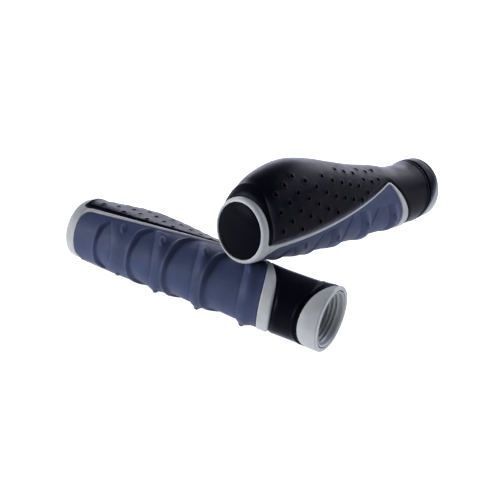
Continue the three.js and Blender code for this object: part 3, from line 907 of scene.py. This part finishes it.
class Nodes:
    """A short way to build a node material around its Principled shader."""

    def __init__(self, name):
        self.material = bpy.data.materials.new(name)
        self.material.use_nodes = True
        self.tree = self.material.node_tree
        self.shader = self.tree.nodes["Principled BSDF"]

    def add(self, kind, settings=None, **values):
        node = self.tree.nodes.new(kind)
        for key, value in (settings or {}).items():
            setattr(node, key, value)
        for key, value in values.items():
            node.inputs[key.replace("_", " ")].default_value = value
        return node

    def link(self, source, target):
        self.tree.links.new(source, target)

    def texture(self, kind, output, **values):
        """A solid texture, fixed to the object."""
        node = self.add(kind, **values)
        coordinates = self.add("ShaderNodeTexCoord")
        self.link(coordinates.outputs["Object"], node.inputs["Vector"])
        return node.outputs[output]

    def noise(self, scale, detail=3.0, roughness=0.55):
        return self.texture("ShaderNodeTexNoise", "Fac", Scale=scale, Detail=detail, Roughness=roughness)

    def edge(self):
        """How close the surface is to an edge of its piece, from 0 to 1."""
        return self.add("ShaderNodeAttribute", {"attribute_name": "edge"}).outputs["Fac"]

    def ramp(self, source, stops):
        node = self.add("ShaderNodeValToRGB")
        while len(node.color_ramp.elements) < len(stops):
            node.color_ramp.elements.new(0.5)
        for element, (position, colour) in zip(node.color_ramp.elements, stops):
            element.position = position
            element.color = (*colour, 1)
        self.link(source, node.inputs["Fac"])
        return node.outputs["Color"]

    def span(self, source, low, high, from_low=0.0, from_high=1.0):
        node = self.add("ShaderNodeMapRange", From_Min=from_low, From_Max=from_high, To_Min=low, To_Max=high)
        self.link(source, node.inputs["Value"])
        return node.outputs["Result"]

    def blend(self, share, first, second):
        node = self.add("ShaderNodeMix", {"data_type": "RGBA"})
        self.link(share, node.inputs["Factor"])
        for socket, value in ((node.inputs["A"], first), (node.inputs["B"], second)):
            if isinstance(value, tuple):
                socket.default_value = (*value, 1)
            else:
                self.link(value, socket)
        return node.outputs["Result"]

    def math(self, operation, first, second):
        node = self.add("ShaderNodeMath", {"operation": operation})
        for socket, value in zip(node.inputs, (first, second)):
            if isinstance(value, (int, float)):
                socket.default_value = value
            else:
                self.link(value, socket)
        return node.outputs["Value"]

    def bump(self, height, strength, distance, before=None):
        node = self.add("ShaderNodeBump", Strength=strength, Distance=distance)
        self.link(height, node.inputs["Height"])
        if before is not None:
            self.link(before, node.inputs["Normal"])
        return node.outputs["Normal"]


def mottled_colour(nodes, scale, detail, colour, spread):
    """A colour that drifts darker and lighter by a share of itself, in soft patches."""
    dark = tuple(c * (1 - spread) for c in colour)
    light = tuple(c * (1 + spread) for c in colour)
    return nodes.ramp(nodes.noise(scale, detail), [(0.3, dark), (0.7, light)])


def rubber(name, colour, worn, roughness, specular, sheen, sheen_roughness, grain):
    """Moulded soft rubber: fine grain, faint mottling, and lighter scuffs where its edges are rubbed."""
    nodes = Nodes(name)
    shader = nodes.shader
    mottled = mottled_colour(nodes, 95, 4, colour, 0.14)
    patchy = nodes.span(nodes.noise(420, 5, 0.65), 0, 0.5, 0.42, 0.68)
    scuffed = nodes.math("MULTIPLY", nodes.edge(), patchy)
    nodes.link(nodes.blend(scuffed, mottled, worn), shader.inputs["Base Color"])
    nodes.link(nodes.span(nodes.noise(240, 3), roughness - 0.05, roughness + 0.06, 0.35, 0.65),
               shader.inputs["Roughness"])
    fine = nodes.bump(nodes.noise(5200, 2), grain, 0.00004)
    uneven = nodes.bump(nodes.noise(210, 2), 0.12, 0.0004, fine)
    nodes.link(uneven, shader.inputs["Normal"])
    shader.inputs["Specular IOR Level"].default_value = specular
    shader.inputs["Sheen Weight"].default_value = sheen
    shader.inputs["Sheen Roughness"].default_value = sheen_roughness
    shader.inputs["Sheen Tint"].default_value = (*VIOLET, 1)
    return nodes.material


def plastic(name, colour, worn, roughness, specular):
    """Moulded hard plastic with faint flow marks, fine scratches in its gloss and paler edges."""
    nodes = Nodes(name)
    shader = nodes.shader
    mottled = mottled_colour(nodes, 60, 3, colour, 0.08)
    paler = nodes.math("MULTIPLY", nodes.edge(), 0.4)
    nodes.link(nodes.blend(paler, mottled, worn), shader.inputs["Base Color"])
    nodes.link(nodes.span(nodes.noise(900, 4, 0.7), roughness * 0.8, roughness * 1.3, 0.35, 0.65),
               shader.inputs["Roughness"])
    nodes.link(nodes.bump(nodes.noise(320, 3), 0.1, 0.0002), shader.inputs["Normal"])
    shader.inputs["Specular IOR Level"].default_value = specular
    return nodes.material


def foam(name):
    """Plain open filler with small pores."""
    nodes = Nodes(name)
    pores = nodes.texture("ShaderNodeTexVoronoi", "Distance", Scale=900.0)
    colour = nodes.ramp(pores, [(0.1, (0.02, 0.02, 0.025)), (0.6, (0.05, 0.05, 0.06))])
    nodes.link(colour, nodes.shader.inputs["Base Color"])
    nodes.link(nodes.span(nodes.noise(300), 0.85, 1.0), nodes.shader.inputs["Roughness"])
    nodes.link(nodes.bump(pores, 0.5, 0.0004), nodes.shader.inputs["Normal"])
    return nodes.material


MATERIALS = {
    "black_rubber": rubber(
        "black_rubber", colour=(0.0018, 0.0018, 0.0055), worn=(0.012, 0.012, 0.018),
        roughness=0.34, specular=0.03, sheen=0.42, sheen_roughness=0.25, grain=0.25),
    "blue_rubber": rubber(
        "blue_rubber", colour=(0.030, 0.043, 0.098), worn=(0.085, 0.1, 0.17),
        roughness=0.55, specular=0.12, sheen=0.05, sheen_roughness=0.5, grain=0.35),
    "light_gray_rubber": rubber(
        "light_gray_rubber", colour=(0.335, 0.35, 0.375), worn=(0.42, 0.44, 0.47),
        roughness=0.5, specular=0.35, sheen=0.0, sheen_roughness=0.5, grain=0.2),
    "sleeve_plastic": plastic(
        "sleeve_plastic", colour=(0.3, 0.315, 0.335), worn=(0.4, 0.41, 0.43), roughness=0.34, specular=0.4),
    "plug_plastic": plastic(
        "plug_plastic", colour=(0.0012, 0.0014, 0.004), worn=(0.01, 0.01, 0.015), roughness=0.2,
        specular=0.02),
    "soft_filler": foam("soft_filler"),
}

PIECES = {
    "inner_sleeve": (inner_sleeve, "sleeve_plastic"),
    "end_ring": (end_ring, "light_gray_rubber"),
    "palm_pad": (palm_pad, "black_rubber"),
    "palm_cushion": (palm_cushion, "soft_filler"),
    "finger_pad": (finger_pad, "blue_rubber"),
    "piping_loop": (piping_loop, "light_gray_rubber"),
    "mouth_ring": (mouth_ring, "light_gray_rubber"),
    "end_plug": (end_plug, "plug_plastic"),
}


# ---- the two grips, placed by the frame ----

def node_points(name):
    """The corners of a CAD node's mesh, in metres."""
    return np.array([vertex.co for vertex in frame["nodes"][name].data.vertices], float)


def grip_place(name):
    """Matrix from a grip's own frame to the frame of the whole part. It comes from the grip's bore and the
    mount on its mouth, which is on the finger side of the mouth's face."""
    mount = next(m for m in frame["record"]["mounts"] if m["name"] == f"{name}_mouth_face")
    along = Vector(mount["axis"]).normalized()
    on_face = Vector(mount["pos_m"])
    on_bore = Vector(node_points(f"{name}_inner_sleeve").mean(0))
    radial = on_face - on_bore
    radial -= along * radial.dot(along)
    palm = -radial.normalized()
    side = palm.cross(along)
    origin = on_face - radial - along * (LENGTH * MM)
    place = Matrix((along, side, palm)).transposed().to_4x4()
    place.translation = origin
    return place


def build_grips():
    """Each piece of each grip, riding on its body in place of its CAD node."""
    for piece, (build, slot) in PIECES.items():
        shape = build()
        for grip in ("lying", "leaning"):
            node = f"{grip}_{piece}"
            mesh = make_mesh(f"{node}_look", grip_place(grip), *shape)
            mesh.materials.append(MATERIALS[slot])
            thing = bpy.data.objects.new(f"{node}_look", mesh)
            bpy.context.scene.collection.objects.link(thing)
            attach(thing, f"{grip}_plug" if piece == "end_plug" else f"{grip}_grip")
            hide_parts(node)


# ---- surroundings ----

def make_floor(level):
    """The pale floor that the grips lie on. It glows, so that it stays white under soft lights."""
    mesh = bpy.data.meshes.new("floor")
    signs = [(-1, -1), (1, -1), (1, 1), (-1, 1)]
    flat = [(FLOOR_REACH * x, FLOOR_REACH * y, level) for x, y in signs]
    edge = [(BACKDROP_REACH * x, BACKDROP_REACH * y, level + BACKDROP_RISE) for x, y in signs]
    slopes = [(i + 4, (i + 1) % 4 + 4, (i + 1) % 4, i) for i in range(4)]
    mesh.from_pydata(flat + edge, [], [(0, 1, 2, 3), *slopes])
    nodes = Nodes("floor")
    nodes.shader.inputs["Base Color"].default_value = (0.9, 0.9, 0.9, 1)
    nodes.shader.inputs["Roughness"].default_value = 0.9
    nodes.shader.inputs["Specular IOR Level"].default_value = 0.1
    nodes.shader.inputs["Emission Color"].default_value = (1, 1, 1, 1)
    nodes.shader.inputs["Emission Strength"].default_value = FLOOR_GLOW
    mesh.materials.append(nodes.material)
    floor = bpy.data.objects.new("floor", mesh)
    bpy.context.scene.collection.objects.link(floor)
    floor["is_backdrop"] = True


def area_light(name, place, size, power, colour=(1, 1, 1)):
    """A soft box that faces the grips. Its place and size are in metres and its power is in watts."""
    light = bpy.data.lights.new(name, "AREA")
    light.color = colour
    light.shape = "RECTANGLE"
    light.size, light.size_y = size
    light.energy = power
    lamp = bpy.data.objects.new(name, light)
    lamp.location = place
    lamp.rotation_mode = "QUATERNION"
    lamp.rotation_quaternion = (Vector(LIGHT_AIM) - Vector(place)).to_track_quat("-Z", "Y")
    bpy.context.scene.collection.objects.link(lamp)


def make_lights():
    """A pale surround, one soft box from the front left and two cool ones from behind."""
    world = bpy.data.worlds.new("studio")
    world.use_nodes = True
    background = world.node_tree.nodes["Background"]
    background.inputs["Color"].default_value = (1, 1, 1, 1)
    background.inputs["Strength"].default_value = WORLD_LIGHT
    bpy.context.scene.world = world
    area_light("front_left", place=(-0.68, -0.55, 0.3), size=(0.5, 0.4), power=7.2)
    area_light("back_right", place=(0.45, 0.85, 0.5), size=(1.0, 0.5), power=9.0, colour=COOL)
    area_light("back_wall", place=(-0.45, 0.95, 0.22), size=(1.7, 0.3), power=10.5, colour=COOL)


def make_camera():
    """A short telephoto that looks down at the grips from the front right."""
    azimuth = math.radians(CAMERA_AZIMUTH)
    elevation = math.radians(CAMERA_ELEVATION)
    level = math.cos(elevation)
    back = Vector((math.sin(azimuth) * level, -math.cos(azimuth) * level, math.sin(elevation)))
    camera = bpy.data.cameras.new("camera")
    camera.sensor_width = 36.0
    camera.lens = CAMERA_LENS
    camera.clip_start = 0.01
    camera.clip_end = 200.0
    eye = bpy.data.objects.new("camera", camera)
    eye.location = Vector(CAMERA_PLACE) * MM
    eye.rotation_mode = "QUATERNION"
    eye.rotation_quaternion = (-back).to_track_quat("-Z", "Y")
    bpy.context.scene.collection.objects.link(eye)
    bpy.context.scene.camera = eye


build_grips()
make_floor(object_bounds()[0][2])
make_lights()
make_camera()
bpy.context.scene.view_settings.view_transform = "Standard"
